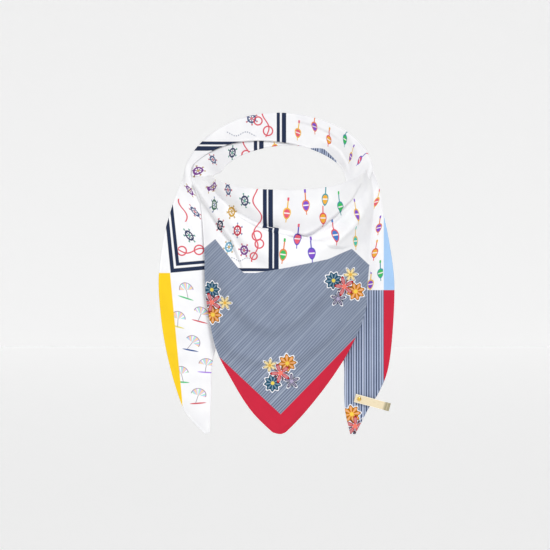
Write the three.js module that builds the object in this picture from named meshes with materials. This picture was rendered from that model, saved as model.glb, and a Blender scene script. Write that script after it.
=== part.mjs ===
// A square neck scarf, folded on its diagonal and worn with the point in front.
// Millimetres, +Z up, +Y towards the wearer's nape, +X to the right as seen from the front.
// The origin is the middle of the neck opening.
// The cloth is one piece in reality. Here it is six regions that meet with narrow gaps:
// the cowl of folds below the neck, the bib that hangs from it to a point, the two bands
// that go round the nape and cross there, and the tail in which each band ends in front.
// The band from the right shoulder ends in the left tail, and the other in the right tail.

import * as THREE from 'three';

// Cloth and neck ring, driving dimensions
const clothThickness = 1.2;
const seatGap = 0.3;
const seamGap = 0.9;
const ringHalfWidth = 97;
const ringDepth = 80;
const ringSideHeight = -4;
const ringNapeHeight = 52;
const napeFlare = 12;
const leftFlare = 78;
const rightFlare = 54;
const foldRadius = 2.2;
const layerOffset = 2.2;

// How finely each region is faceted
const drapeAcross = 42;
const drapeRowSteps = 2;
const ringSteps = 30;
const tailSteps = 20;
const bandAcross = 14;

// Shares of a band's width on the inner side of its top fold and on the fold itself
const innerShare = 5 / bandAcross;
const foldShare = 5 / bandAcross;

// Shares of an end's length where its band meets its tail, and over which one turns into the other
const endSeam = ringSteps / (ringSteps + tailSteps);
const turnShare = 0.05;

// Label and its stud
const labelLength = 38;
const labelWidth = 8.5;
const labelThickness = 0.7;
const labelTilt = -16.5;
const labelYaw = 13;
const labelCentre = [95.7, -81.45, -234.7];
const studRadius = 2.1;
const studHeight = 1.4;
const studInset = 4.5;
const studSides = 20;

// Front drape, one row for each crest and valley from the neckline down to the point.
// wrap is how far round the neck the row turns, in degrees; rise is how it climbs to its ends.
const drapeRows = [
  { name: 'lip', left: [-66, 8.6, -15], mid: [6, -70, -27], right: [90, 5, -9], wrap: 86, rise: 3.0 },
  { name: 'neckline', left: [-69, 8.6, -10], mid: [6, -76, -19], right: [92, 5, -4], wrap: 86, rise: 3.0 },
  { name: 'cowl', left: [-73, 8.6, -10], mid: [6, -88, -41], right: [94, 5, -7], wrap: 82, rise: 2.3 },
  { name: 'valley', left: [-77, 8.6, -11], mid: [15, -84, -63], right: [96, 4, -10], wrap: 78, rise: 2.0 },
  { name: 'tuck', left: [-80, 7, -12], mid: [22, -85, -70], right: [97, 1, -16], wrap: 76, rise: 2.0 },
  { name: 'ridge', left: [-83, 4, -13], mid: [44, -91, -70], right: [98, -12, -28], wrap: 72, rise: 2.0 },
  { name: 'swag', left: [-85, 0, -15], mid: [22, -99, -86], right: [98, -22, -43], wrap: 68, rise: 2.0 },
  { name: 'under', left: [-86, -6, -18], mid: [18, -97, -106], right: [96, -32, -63], wrap: 64, rise: 1.9 },
  { name: 'side', left: [-79, -30, -41], mid: [13, -100, -124], right: [94, -48, -86], wrap: 60, rise: 1.8 },
  { name: 'chest', left: [-75, -56, -82], mid: [8, -104, -146], right: [91, -62, -114], wrap: 56, rise: 1.8 },
  { name: 'waist', left: [-73, -75, -128], mid: [6, -107, -174], right: [88, -75, -144], wrap: 52, rise: 1.7 },
  { name: 'lower', left: [-64, -87, -175], mid: [4, -107, -206], right: [74, -87, -176], wrap: 48, rise: 1.6 },
  { name: 'taper', left: [-47, -95, -209], mid: [3, -105, -231], right: [55, -95, -206], wrap: 44, rise: 1.5 },
  { name: 'blunt', left: [-28, -99, -239], mid: [2, -103, -251], right: [30, -99, -238], wrap: 40, rise: 1.5 },
  { name: 'point', left: [-6, -100, -262], mid: [2, -100, -264], right: [8, -100, -262], wrap: 30, rise: 1.5 },
];

// The row where the cowl ends and the bib starts
const seamRow = 'swag';

// Bands round the nape. turn is the angle round the neck from the front, in degrees, and skew
// is how much further forward the band's inner edge lies. inside and outside are how far the
// cloth hangs on each side of the top fold, and lean is the outer side's angle inwards.
const rightBand = [
  { turn: 95, skew: 20, inside: 27, outside: 1, lean: 0 },
  { turn: 135, skew: 6, inside: 33, outside: 5, lean: 4 },
  { turn: 180, skew: 0, inside: 29, outside: 14, lean: 8 },
  { turn: 215, skew: 0, inside: 19, outside: 20, lean: 4 },
  { turn: 245, skew: 0, inside: 9, outside: 24, lean: -6 },
  { turn: 264, skew: 0, inside: 3, outside: 14, lean: -14 },
];
const leftBand = [
  { turn: 262, top: 5, bottom: 28 },
  { turn: 235, top: 4, bottom: 37 },
  { turn: 200, top: 3, bottom: 36 },
  { turn: 165, top: 3, bottom: 31 },
  { turn: 130, top: 2, bottom: 28 },
  { turn: 98, top: 1, bottom: 20 },
];
// Where the left end's band meets the front drape, at the left shoulder, and the share of
// the band's length over which it leaves that seat
const leftSeat = { inner: [-68, 9.8, -11], outer: [-90, 9.8, -11] };
const seatShare = 0.12;

// Hanging tails: inner is the edge towards the front drape, outer the edge seen as the outline.
const leftTail = [
  { name: 'shoulder', inner: [-90, 2, -16], outer: [-97, 12, -12], bulge: 1 },
  { name: 'slope', inner: [-78, -26, -41], outer: [-104, -9, -25], bulge: 3 },
  { name: 'collar', inner: [-64, -38, -65], outer: [-111, -26, -46], bulge: 5 },
  { name: 'breast', inner: [-56, -53.5, -94], outer: [-118, -38, -74], bulge: 6 },
  { name: 'widest', inner: [-55, -68, -131], outer: [-122, -51, -111], bulge: 6 },
  { name: 'middle', inner: [-60, -77, -166], outer: [-119, -62, -153], bulge: 5 },
  { name: 'taper', inner: [-67, -82, -196], outer: [-112, -70, -191], bulge: 4 },
  { name: 'lower', inner: [-67.5, -85, -224], outer: [-102, -77, -226], bulge: 3 },
  { name: 'end', inner: [-68.5, -87, -244], outer: [-92.5, -80, -247], bulge: 2 },
  { name: 'tip', inner: [-69, -87, -265], outer: [-74, -85, -266], bulge: 0 },
];
const rightTail = [
  { name: 'shoulder', inner: [94, 12, -14], outer: [102, 15, -9], bulge: 0 },
  { name: 'slope', inner: [90, -6, -33], outer: [106, 2, -26], bulge: 1 },
  { name: 'collar', inner: [82, -24, -54], outer: [109, -12, -48], bulge: 1 },
  { name: 'breast', inner: [74, -42, -79], outer: [114, -28, -74], bulge: 2 },
  { name: 'widest', inner: [67, -60, -121], outer: [119, -45, -115], bulge: 3 },
  { name: 'middle', inner: [65, -74, -166], outer: [117, -60, -163], bulge: 3 },
  { name: 'taper', inner: [67, -83, -199], outer: [112, -71, -201], bulge: 3 },
  { name: 'lower', inner: [67, -85, -222], outer: [103, -76, -224], bulge: 2 },
  { name: 'end', inner: [69, -85, -244], outer: [92, -79, -241], bulge: 1 },
  { name: 'tip', inner: [76, -84, -266], outer: [81, -82, -267], bulge: 0 },
];

const radians = (degrees) => degrees * Math.PI / 180;
const mix = (a, b, t) => a + (b - a) * t;
const mixPoints = (a, b, t) => a.map((value, axis) => mix(value, b[axis], t));
const smooth = (t) => t * t * (3 - 2 * t);

// A value between the rows of a table, on a curve that passes through every row.
function alongTable(values, t) {
  const last = values.length - 1;
  const place = Math.min(Math.max(t, 0), 1) * last;
  const row = Math.min(Math.floor(place), last - 1);
  const f = place - row;
  const at = (index) => values[Math.min(Math.max(index, 0), last)];
  const [before, start, end, after] = [at(row - 1), at(row), at(row + 1), at(row + 2)];
  const slopeStart = (end - before) / 2;
  const slopeEnd = (after - start) / 2;
  const f2 = f * f;
  const f3 = f2 * f;
  return (2 * f3 - 3 * f2 + 1) * start + (f3 - 2 * f2 + f) * slopeStart
    + (3 * f2 - 2 * f3) * end + (f3 - f2) * slopeEnd;
}

function column(table, name, t) {
  if (Array.isArray(table[0][name])) {
    return [0, 1, 2].map((axis) => alongTable(table.map((row) => row[name][axis]), t));
  }
  return alongTable(table.map((row) => row[name]), t);
}

// The top line of the neck ring, its inward direction and the way the cloth falls from it.
function ringFrame(turn) {
  const angle = radians(turn);
  const back = Math.max(0, -Math.cos(angle));
  const fullness = 1.15 - 0.18 * Math.sin(angle);
  const top = [
    ringHalfWidth * Math.sin(angle),
    -ringDepth * Math.cos(angle),
    ringSideHeight + (ringNapeHeight - ringSideHeight) * back ** fullness,
  ];
  const inward = [-Math.sin(angle), Math.cos(angle), 0];
  const sideFlare = Math.sin(angle) < 0 ? leftFlare : rightFlare;
  const flare = radians(napeFlare + (sideFlare - napeFlare) * Math.sin(angle) ** 4);
  const fall = [inward[0] * Math.sin(flare), inward[1] * Math.sin(flare), -Math.cos(flare)];
  const outward = [-inward[0] * Math.cos(flare), -inward[1] * Math.cos(flare), -Math.sin(flare)];
  return { top, inward, fall, outward };
}

function step(point, direction, distance) {
  return point.map((value, axis) => value + direction[axis] * distance);
}

// The right end's band: over its top fold from the inner side (q = 0) to the outer side (q = 1).
function rightBandPoint(q, t) {
  const inside = column(rightBand, 'inside', t);
  const outside = column(rightBand, 'outside', t);
  const lean = radians(column(rightBand, 'lean', t));
  const inner = Math.max(0, 1 - q / innerShare);
  const turned = Math.min(Math.max((q - innerShare) / foldShare, 0), 1);
  const outer = Math.max(0, (q - innerShare - foldShare) / (1 - innerShare - foldShare));
  const forward = column(rightBand, 'skew', t) * inner ** 2;
  const { top, inward, fall, outward } = ringFrame(column(rightBand, 'turn', t) - forward);
  const foldFoot = step(top, fall, foldRadius);
  if (inner > 0) return step(foldFoot, fall, inner * inside);
  const centre = step(foldFoot, outward, foldRadius);
  const startAngle = Math.atan2(-outward[2], Math.hypot(outward[0], outward[1]));
  const angle = mix(startAngle, Math.PI + lean, turned);
  const spoke = [inward[0] * Math.cos(angle), inward[1] * Math.cos(angle), Math.sin(angle)];
  const hang = [inward[0] * Math.sin(lean), inward[1] * Math.sin(lean), -Math.cos(lean)];
  return step(step(centre, spoke, foldRadius), hang, outer * outside);
}

// The left end's band lies under and outside the other one, and starts from the front drape.
function leftBandPoint(q, t) {
  const { top, fall, outward } = ringFrame(column(leftBand, 'turn', t));
  const reach = mix(column(leftBand, 'bottom', t), column(leftBand, 'top', t), q);
  const hung = step(step(top, outward, layerOffset), fall, foldRadius + reach);
  const seated = mixPoints(leftSeat.inner, leftSeat.outer, q);
  return mixPoints(seated, hung, smooth(Math.min(t / seatShare, 1)));
}

function tailPoint(table, u, t) {
  const point = mixPoints(column(table, 'inner', t), column(table, 'outer', t), u);
  point[1] -= column(table, 'bulge', t) * 4 * u * (1 - u);
  return point;
}

// One end of the scarf: round the nape first, then down its tail, with a soft turn at the shoulder.
function endPoint(bandPoint, tail, u, s) {
  const onRing = Math.min(s / endSeam, 1);
  const onTail = Math.max(0, (s - endSeam) / (1 - endSeam));
  const blend = smooth(Math.min(Math.max((s - endSeam + turnShare) / (2 * turnShare), 0), 1));
  return mixPoints(bandPoint(u, onRing), tailPoint(tail, u, onTail), blend);
}

function drapePoint(u, v) {
  const side = u < 0 ? 'left' : 'right';
  const end = column(drapeRows, side, v);
  const middle = column(drapeRows, 'mid', v);
  const wrap = radians(column(drapeRows, 'wrap', v));
  const angle = Math.abs(u) * wrap;
  const across = Math.sin(angle) / Math.sin(wrap);
  const back = (1 - Math.cos(angle)) / (1 - Math.cos(wrap));
  const up = across ** column(drapeRows, 'rise', v);
  return [
    mix(middle[0], end[0], across),
    mix(middle[1], end[1], back),
    mix(middle[2], end[2], up),
  ];
}

// A closed wall of cloth about the surface that place(u, v) gives, u and v from 0 to 1.
function clothWall(place, across, along) {
  const middle = [];
  for (let j = 0; j <= along; j += 1) {
    for (let i = 0; i <= across; i += 1) middle.push(new THREE.Vector3(...place(i / across, j / along)));
  }
  const index = (i, j) => j * (across + 1) + i;
  const positions = [];
  const normal = new THREE.Vector3();
  const alongU = new THREE.Vector3();
  const alongV = new THREE.Vector3();
  for (const side of [1, -1]) {
    for (let j = 0; j <= along; j += 1) {
      for (let i = 0; i <= across; i += 1) {
        const [i0, i1] = [Math.max(i - 1, 0), Math.min(i + 1, across)];
        const [j0, j1] = [Math.max(j - 1, 0), Math.min(j + 1, along)];
        alongU.subVectors(middle[index(i1, j)], middle[index(i0, j)]);
        alongV.subVectors(middle[index(i, j1)], middle[index(i, j0)]);
        normal.crossVectors(alongU, alongV).normalize().multiplyScalar(side * clothThickness / 2);
        const point = middle[index(i, j)].clone().add(normal);
        positions.push(point.x, point.y, point.z);
      }
    }
  }
  const sheet = (across + 1) * (along + 1);
  const faces = [];
  const quad = (a, b, c, d) => faces.push(a, b, c, a, c, d);
  for (let j = 0; j < along; j += 1) {
    for (let i = 0; i < across; i += 1) {
      const [a, b, c, d] = [index(i, j), index(i + 1, j), index(i + 1, j + 1), index(i, j + 1)];
      quad(a, b, c, d);
      quad(sheet + a, sheet + d, sheet + c, sheet + b);
    }
  }
  const rim = [];
  for (let i = 0; i < across; i += 1) rim.push(index(i, 0));
  for (let j = 0; j < along; j += 1) rim.push(index(across, j));
  for (let i = across; i > 0; i -= 1) rim.push(index(i, along));
  for (let j = along; j > 0; j -= 1) rim.push(index(0, j));
  rim.forEach((a, k) => {
    const b = rim[(k + 1) % rim.length];
    quad(a, sheet + a, sheet + b, b);
  });
  const geometry = new THREE.BufferGeometry();
  geometry.setAttribute('position', new THREE.Float32BufferAttribute(positions, 3));
  geometry.setIndex(faces);
  return geometry;
}

function namedMesh(name, geometry, colour, roughness, metalness) {
  const material = new THREE.MeshStandardMaterial({ color: colour, roughness, metalness });
  const mesh = new THREE.Mesh(geometry, material);
  mesh.name = name;
  return mesh;
}

// How far along a surface a seam is at u, moved square to the seam by a distance in millimetres.
function seamPlace(place, seam, u, distance) {
  const probe = 0.001;
  const between = (start, end) => new THREE.Vector3(...end).sub(new THREE.Vector3(...start));
  const alongSeam = between(place(u - probe, seam), place(u + probe, seam)).normalize();
  const acrossSeam = between(place(u, seam - probe), place(u, seam + probe));
  acrossSeam.addScaledVector(alongSeam, -acrossSeam.dot(alongSeam));
  return seam + 2 * probe * distance / acrossSeam.length();
}

// The part of a surface before its seam, and the part after it, as two walls of cloth.
function wallBeforeSeam(place, seam, across, along) {
  const shortened = (u, v) => place(u, v * seamPlace(place, seam, u, -seamGap / 2));
  return clothWall(shortened, across, along);
}

function wallAfterSeam(place, seam, across, along) {
  const shortened = (u, v) => place(u, mix(seamPlace(place, seam, u, seamGap / 2), 1, v));
  return clothWall(shortened, across, along);
}

const drape = (u, v) => drapePoint(2 * u - 1, v);
const rightEnd = (u, s) => endPoint(rightBandPoint, leftTail, u, s);
const leftEnd = (u, s) => endPoint(leftBandPoint, rightTail, u, s);

const cowlRows = drapeRows.findIndex(({ name }) => name === seamRow);
const bibRows = drapeRows.length - 1 - cowlRows;
const drapeSeam = cowlRows / (cowlRows + bibRows);

const scarf = new THREE.Group();
const clothPieces = [
  ['cowl', wallBeforeSeam(drape, drapeSeam, drapeAcross, cowlRows * drapeRowSteps), 0xf5f5f4],
  ['bib', wallAfterSeam(drape, drapeSeam, drapeAcross, bibRows * drapeRowSteps), 0x98a2bd],
  ['right_band', wallBeforeSeam(rightEnd, endSeam, bandAcross, ringSteps), 0xf5f5f4],
  ['left_tail', wallAfterSeam(rightEnd, endSeam, bandAcross, tailSteps), 0xf5f5f4],
  ['left_band', wallBeforeSeam(leftEnd, endSeam, bandAcross, ringSteps), 0xf5f5f4],
  ['right_tail', wallAfterSeam(leftEnd, endSeam, bandAcross, tailSteps), 0xf5f5f4],
];
for (const [name, geometry, colour] of clothPieces) {
  scarf.add(namedMesh(name, geometry, colour, 0.75, 0));
}

// The label's group has its length along X and its front towards -Y.
const label = namedMesh(
  'label', new THREE.BoxGeometry(labelLength, labelThickness, labelWidth), 0xd9c79a, 0.4, 0);
const stud = namedMesh(
  'label_stud', new THREE.CylinderGeometry(studRadius, studRadius, studHeight, studSides), 0xc9a24e, 0.25, 1);
stud.position.set(studInset - labelLength / 2, -(labelThickness + studHeight) / 2 - seatGap, 0);
const labelGroup = new THREE.Group();
labelGroup.add(label, stud);
labelGroup.position.set(...labelCentre);
labelGroup.rotation.set(0, radians(-labelTilt), radians(labelYaw), 'ZYX');
scarf.add(labelGroup);

export default scarf;
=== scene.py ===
import math
import bpy
import numpy as np
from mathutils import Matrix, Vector


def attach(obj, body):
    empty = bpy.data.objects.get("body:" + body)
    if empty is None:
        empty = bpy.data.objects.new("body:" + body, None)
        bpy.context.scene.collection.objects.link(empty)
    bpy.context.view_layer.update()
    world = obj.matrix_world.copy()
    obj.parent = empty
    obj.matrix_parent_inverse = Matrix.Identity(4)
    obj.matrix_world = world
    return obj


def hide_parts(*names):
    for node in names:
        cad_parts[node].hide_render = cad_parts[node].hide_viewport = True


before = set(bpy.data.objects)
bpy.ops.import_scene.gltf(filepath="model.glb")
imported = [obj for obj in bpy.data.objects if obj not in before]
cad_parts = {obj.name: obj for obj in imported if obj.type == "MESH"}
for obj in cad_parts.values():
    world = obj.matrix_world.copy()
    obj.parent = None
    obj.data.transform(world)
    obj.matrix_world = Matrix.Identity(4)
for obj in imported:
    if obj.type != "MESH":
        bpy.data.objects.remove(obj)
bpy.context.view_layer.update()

MM = 0.001
UP = np.array([0.0, 0.0, 1.0])

# The cloth's shape in mm, from the CAD's tables. Only the right tail's tip is a little further left.
RING_HALF_WIDTH, RING_DEPTH = 97.0, 80.0
RING_SIDE, RING_NAPE = -4.0, 52.0
NAPE_FLARE, LEFT_FLARE, RIGHT_FLARE = 12.0, 78.0, 54.0
NAPE_FULLNESS, SIDE_FULLNESS = 1.15, 0.18
FOLD_RADIUS, LAYER_OFFSET = 2.2, 2.2
RING_STEPS, TAIL_STEPS = 30, 20
INNER_SHARE, FOLD_SHARE, TURN_SHARE = 5 / 14, 5 / 14, 0.05

# left, middle and right point of each row of the front, then wrap and rise
DRAPE = np.array([
    [-66, 8.6, -15, 6, -70, -27, 90, 5, -9, 86, 3.0],
    [-69, 8.6, -10, 6, -76, -19, 92, 5, -4, 86, 3.0],
    [-73, 8.6, -10, 6, -88, -41, 94, 5, -7, 82, 2.3],
    [-77, 8.6, -11, 15, -84, -63, 96, 4, -10, 78, 2.0],
    [-80, 7, -12, 22, -85, -70, 97, 1, -16, 76, 2.0],
    [-83, 4, -13, 44, -91, -70, 98, -12, -28, 72, 2.0],
    [-85, 0, -15, 22, -99, -86, 98, -22, -43, 68, 2.0],
    [-86, -6, -18, 18, -97, -106, 96, -32, -63, 64, 1.9],
    [-79, -30, -41, 13, -100, -124, 94, -48, -86, 60, 1.8],
    [-75, -56, -82, 8, -104, -146, 91, -62, -114, 56, 1.8],
    [-73, -75, -128, 6, -107, -174, 88, -75, -144, 52, 1.7],
    [-64, -87, -175, 4, -107, -206, 74, -87, -176, 48, 1.6],
    [-47, -95, -209, 3, -105, -231, 55, -95, -206, 44, 1.5],
    [-28, -99, -239, 2, -103, -251, 30, -99, -238, 40, 1.5],
    [-6, -100, -262, 2, -100, -264, 8, -100, -262, 30, 1.5],
], float)

# turn round the neck, skew, height inside and outside, lean
RIGHT_BAND = np.array([
    [95, 20, 27, 1, 0], [135, 6, 33, 5, 4], [180, 0, 29, 14, 8],
    [215, 0, 19, 20, 4], [245, 0, 9, 24, -6], [264, 0, 3, 14, -14],
], float)
# turn round the neck, upper and lower edge below the fold
LEFT_BAND = np.array([
    [262, 5, 28], [235, 4, 37], [200, 3, 36], [165, 3, 31], [130, 2, 28], [98, 1, 20],
], float)
# where the left band starts, on the left tail's shoulder
LEFT_SEAT = np.array([[-68, 9.8, -11], [-90, 9.8, -11]], float)
SEAT_SHARE = 0.12
# inner point, outer point and bulge of each row of the tails
LEFT_TAIL = np.array([
    [-90, 2, -16, -97, 12, -12, 1], [-78, -26, -41, -104, -9, -25, 3],
    [-64, -38, -65, -111, -26, -46, 5], [-56, -53.5, -94, -118, -38, -74, 6],
    [-55, -68, -131, -122, -51, -111, 6], [-60, -77, -166, -119, -62, -153, 5],
    [-67, -82, -196, -112, -70, -191, 4], [-67.5, -85, -224, -102, -77, -226, 3],
    [-68.5, -87, -244, -92.5, -80, -247, 2], [-69, -87, -265, -74, -85, -266, 0],
], float)
RIGHT_TAIL = np.array([
    [94, 12, -14, 102, 15, -9, 0], [90, -6, -33, 106, 2, -26, 1],
    [82, -24, -54, 109, -12, -48, 1], [74, -42, -79, 114, -28, -74, 2],
    [67, -60, -121, 119, -45, -115, 3], [65, -74, -166, 117, -60, -163, 3],
    [67, -83, -199, 112, -71, -201, 3], [67, -85, -222, 103, -76, -224, 2],
    [68.3, -85, -244, 92, -79, -241, 1], [73.4, -84, -266.5, 78.6, -82, -267, 0],
], float)


def along(table, t):
    """Rows of a table read at t from 0 to 1, on a curve through every row."""
    last = len(table) - 1
    place = np.clip(t, 0, 1) * last
    row = np.minimum(np.floor(place).astype(int), last - 1)
    f = (place - row)[..., None]
    before, start, end, after = (table[np.clip(row + step, 0, last)] for step in (-1, 0, 1, 2))
    a, b = (end - before) / 2, (after - start) / 2
    f2, f3 = f * f, f ** 3
    return ((2 * f3 - 3 * f2 + 1) * start + (f3 - 2 * f2 + f) * a
            + (3 * f2 - 2 * f3) * end + (f3 - f2) * b)


def smooth(t):
    """A soft step from 0 to 1."""
    t = np.clip(t, 0, 1)
    return t * t * (3 - 2 * t)


def drape_point(u, v):
    """A point of the front, at u from -1 on the left to 1 on the right and v from 0 at the top to 1."""
    row = along(DRAPE, v)
    left, middle, right = row[..., 0:3], row[..., 3:6], row[..., 6:9]
    end = np.where((u < 0)[..., None], left, right)
    wrap = np.radians(row[..., 9])
    angle = np.abs(u) * wrap
    across = np.sin(angle) / np.sin(wrap)
    back = (1 - np.cos(angle)) / (1 - np.cos(wrap))
    up = across ** row[..., 10]
    share = np.stack([across, back, up], -1)
    return middle + (end - middle) * share


def ring_frame(turn):
    """The upper edge of the ring round the neck at a turn in degrees, and its ways in, down and out."""
    angle = np.radians(turn)
    sine, cosine = np.sin(angle), np.cos(angle)
    back = np.maximum(0, -cosine)
    fullness = NAPE_FULLNESS - SIDE_FULLNESS * sine
    rise = np.where(back > 0, np.maximum(back, 1e-9) ** fullness, 0)
    top = np.stack([RING_HALF_WIDTH * sine, -RING_DEPTH * cosine,
                    RING_SIDE + (RING_NAPE - RING_SIDE) * rise], -1)
    inward = np.stack([-sine, cosine, 0 * sine], -1)
    side = np.where(sine < 0, LEFT_FLARE, RIGHT_FLARE)
    flare = np.radians(NAPE_FLARE + (side - NAPE_FLARE) * sine ** 4)
    sf, cf = np.sin(flare)[..., None], np.cos(flare)[..., None]
    return top, inward, inward * sf - UP * cf, -inward * cf - UP * sf


def right_band_point(q, t):
    """A point of the band that is folded over along its top, at q from its inner to its outer edge."""
    row = along(RIGHT_BAND, t)
    inner = np.maximum(0, 1 - q / INNER_SHARE)
    turned = np.clip((q - INNER_SHARE) / FOLD_SHARE, 0, 1)
    outer = np.maximum(0, (q - INNER_SHARE - FOLD_SHARE) / (1 - INNER_SHARE - FOLD_SHARE))
    lean = np.radians(row[..., 4])
    top, inward, fall, outward = ring_frame(row[..., 0] - row[..., 1] * inner ** 2)
    foot = top + fall * FOLD_RADIUS
    inside = foot + fall * (inner * row[..., 2])[..., None]
    centre = foot + outward * FOLD_RADIUS
    start = np.arctan2(-outward[..., 2], np.hypot(outward[..., 0], outward[..., 1]))
    angle = start + (np.pi + lean - start) * turned
    spoke = inward * np.cos(angle)[..., None] + UP * np.sin(angle)[..., None]
    hang = inward * np.sin(lean)[..., None] - UP * np.cos(lean)[..., None]
    over = centre + spoke * FOLD_RADIUS + hang * (outer * row[..., 3])[..., None]
    return np.where((inner > 0)[..., None], inside, over)


def left_band_point(q, t):
    """A point of the band inside it, at q from its lower to its upper edge."""
    row = along(LEFT_BAND, t)
    top, inward, fall, outward = ring_frame(row[..., 0])
    reach = row[..., 2] + (row[..., 1] - row[..., 2]) * q
    hung = top + outward * LAYER_OFFSET + fall * (FOLD_RADIUS + reach)[..., None]
    seated = LEFT_SEAT[0] + (LEFT_SEAT[1] - LEFT_SEAT[0]) * q[..., None]
    return seated + (hung - seated) * smooth(t / SEAT_SHARE)[..., None]


def tail_point(table, u, t):
    """A point of a tail, at u from its inner to its outer edge and t down its length."""
    row = along(table, t)
    point = row[..., 0:3] + (row[..., 3:6] - row[..., 0:3]) * u[..., None]
    point[..., 1] -= row[..., 6] * 4 * u * (1 - u)
    return point


def end_point(band, tail, u, s):
    """A point of a band and the tail in which it goes on, at s from 0 at its start to 1 at the tip."""
    share = RING_STEPS / (RING_STEPS + TAIL_STEPS)
    blend = smooth((s - share + TURN_SHARE) / (2 * TURN_SHARE))[..., None]
    ring = band(u, np.minimum(s / share, 1))
    hung = tail_point(tail, u, np.maximum(0, (s - share) / (1 - share)))
    return ring + (hung - ring) * blend


# The camera, as solved from the photograph: place in mm, tilt in degrees, focal length and frame in px
CAMERA_AT = np.array([-3.12, -2983.6, 200.7])
CAMERA_TILT = 6.0
FOCAL_PX = 2884.6
PHOTO_PX = 550.0


def seen_at(points):
    """Where points in mm are seen, in pixels of the 550 x 550 photograph."""
    tilt = math.radians(CAMERA_TILT)
    ahead = np.array([0, math.cos(tilt), -math.sin(tilt)])
    up = np.array([0, math.sin(tilt), math.cos(tilt)])
    ray = points - CAMERA_AT
    depth = ray @ ahead
    return (PHOTO_PX / 2 + FOCAL_PX * ray[..., 0] / depth,
            PHOTO_PX / 2 - FOCAL_PX * (ray @ up) / depth)


def line_distance(x, y, line):
    """Signed distance in px from a line of points, positive on its right-hand side, and the place along
    it from 0 to 1."""
    line = np.array(line, float)
    lengths = np.hypot(*np.diff(line, axis=0).T)
    before = np.concatenate([[0], np.cumsum(lengths)])
    best, signed, place = np.full(x.shape, np.inf), np.zeros(x.shape), np.zeros(x.shape)
    for k, (a, b) in enumerate(zip(line[:-1], line[1:])):
        d = (b - a) / lengths[k]
        rx, ry = x - a[0], y - a[1]
        f = rx * d[0] + ry * d[1]
        g = np.clip(f, 0, lengths[k])
        near = np.hypot(rx - g * d[0], ry - g * d[1])
        side = np.sign(rx * -d[1] + ry * d[0])
        take = near < best
        best = np.where(take, near, best)
        signed = np.where(take, near * np.where(side == 0, 1, side), signed)
        place = np.where(take, (before[k] + g) / before[-1], place)
    return signed, place


def ends(place, start, end):
    """Fades a fold in and out towards its two ends."""
    return smooth(place / start) * smooth((1 - place) / end)


def dip(d, width):
    """A round crest of height 1."""
    return np.exp(-(d / width) ** 2)


def step_over(d, sharp, reach):
    """A lapped edge: high on the positive side, low on the negative one, dying out on both."""
    return np.tanh(d / sharp) * np.exp(-np.abs(d) / reach)


# the margins of the map for baking, and in mm the columns along the hems and the thicknesses there
BAKE_LEFT, BAKE_WIDE, BAKE_FOOT, BAKE_HIGH = 0.01, 0.98, 0.005, 0.48
HEM_STEPS, NARROWEST = np.array([0.0, 0.35, 0.75, 1.2, 1.7, 2.3, 3.1]), 8.0
HEM_HALF, HEM_ROLL, HEM_AT, HEM_WIDE = 0.42, 0.5, 1.0, 0.75
EDGE_HALF, EDGE_WIDE = 0.3, 0.22
# how much nearer cloth goes first where a print is placed, and the shares that mix turns and colours
FRONT_FIRST, MIX_START, MIX_SHARES = 0.02, 0.13, (0.618, 0.382, 0.724)


def arc(points, axis):
    """Distance along a grid of points, starting from 0."""
    steps = np.linalg.norm(np.diff(points, axis=axis), axis=-1)
    pad = [(0, 0), (0, 0)]
    pad[axis] = (1, 0)
    return np.cumsum(np.pad(steps, pad), axis=axis)


def normals(points):
    n = np.cross(np.gradient(points, axis=1), np.gradient(points, axis=0))
    return n / np.maximum(np.linalg.norm(n, axis=-1, keepdims=True), 1e-9)


def cloth(name, middle, half, maps, material):
    """A closed wall of cloth about a grid of points in mm, with half its thickness at each. Of its UV
    maps, Cloth holds the distances across and along the cloth in mm, Front the place of each point as
    seen from the front, in px, and Share how far along its end of the scarf each point is."""
    rows, cols = middle.shape[:2]
    n = normals(middle)
    inner = middle + n * half[..., None]
    outer = middle - n * half[..., None]
    verts = np.concatenate([inner.reshape(-1, 3), outer.reshape(-1, 3)]) * MM
    index = np.arange(rows * cols).reshape(rows, cols)
    a, b, c, d = index[:-1, :-1], index[:-1, 1:], index[1:, 1:], index[1:, :-1]
    quad = np.stack([a, b, c, d], -1).reshape(-1, 4)
    back = np.stack([a, d, c, b], -1).reshape(-1, 4) + rows * cols
    rim = np.concatenate([index[0, :-1], index[:-1, -1], index[-1, :0:-1], index[:0:-1, 0]])
    after = np.roll(rim, -1)
    edge = np.stack([rim, rim + rows * cols, after + rows * cols, after], -1)
    faces = np.concatenate([quad, back, edge])
    mesh = bpy.data.meshes.new(name)
    mesh.vertices.add(len(verts))
    mesh.vertices.foreach_set("co", verts.ravel())
    mesh.loops.add(faces.size)
    mesh.loops.foreach_set("vertex_index", faces.ravel())
    mesh.polygons.add(len(faces))
    mesh.polygons.foreach_set("loop_start", np.arange(0, faces.size, 4))
    mesh.polygons.foreach_set("use_smooth", np.ones(len(faces), bool))
    mesh.update(calc_edges=True)
    # the map for baking: the inner face in the lower half, the outer face in the upper half
    v, u = np.meshgrid(np.linspace(0, 1, rows), np.linspace(0, 1, cols), indexing="ij")
    low = np.stack([BAKE_LEFT + BAKE_WIDE * u, BAKE_FOOT + BAKE_HIGH * v], -1).reshape(-1, 2)
    bake = np.concatenate([low, low + [0, 0.5]])[faces]
    walls = len(quad) + len(back)
    bake[walls:, 1:3] = bake[walls:, [0, 3]]
    layers = {key: np.concatenate([values.reshape(-1, 2)] * 2)[faces] for key, values in maps.items()}
    for map_name, values in {**layers, "OFBake": bake}.items():
        mesh.uv_layers.new(name=map_name).data.foreach_set("uv", values.astype(np.float32).ravel())
    mesh.validate()
    obj = bpy.data.objects.new(name, mesh)
    bpy.context.scene.collection.objects.link(obj)
    obj.data.materials.append(material)
    return obj


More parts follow.
